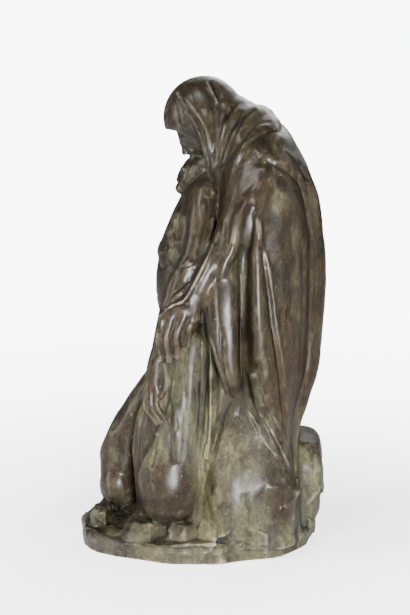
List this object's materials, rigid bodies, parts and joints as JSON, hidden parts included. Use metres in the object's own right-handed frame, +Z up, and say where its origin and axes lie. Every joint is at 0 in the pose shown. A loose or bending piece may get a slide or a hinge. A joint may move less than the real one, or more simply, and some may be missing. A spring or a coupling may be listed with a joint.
{
  "type": "pieta statue",
  "caption": "Cast bronze pieta: a hooded, cloaked woman stands bent over a bearded man who kneels slumped against her, on a low rocky oval plinth",
  "frame": {"origin": "centre of the bounding box's base, on the surface that the plinth stands on", "axes": "+Z up; the figures face -X; -Y is the woman's left, the side that the picture shows"},
  "size_m": [0.2132, 0.1746, 0.3999],
  "materials": {
    "bronze": "dark brown and green patina on cast bronze, waxed, darker in the hollows"
  },
  "bodies": {
    "root": {"pieta_group": "bronze"}
  },
  "joints": []
}
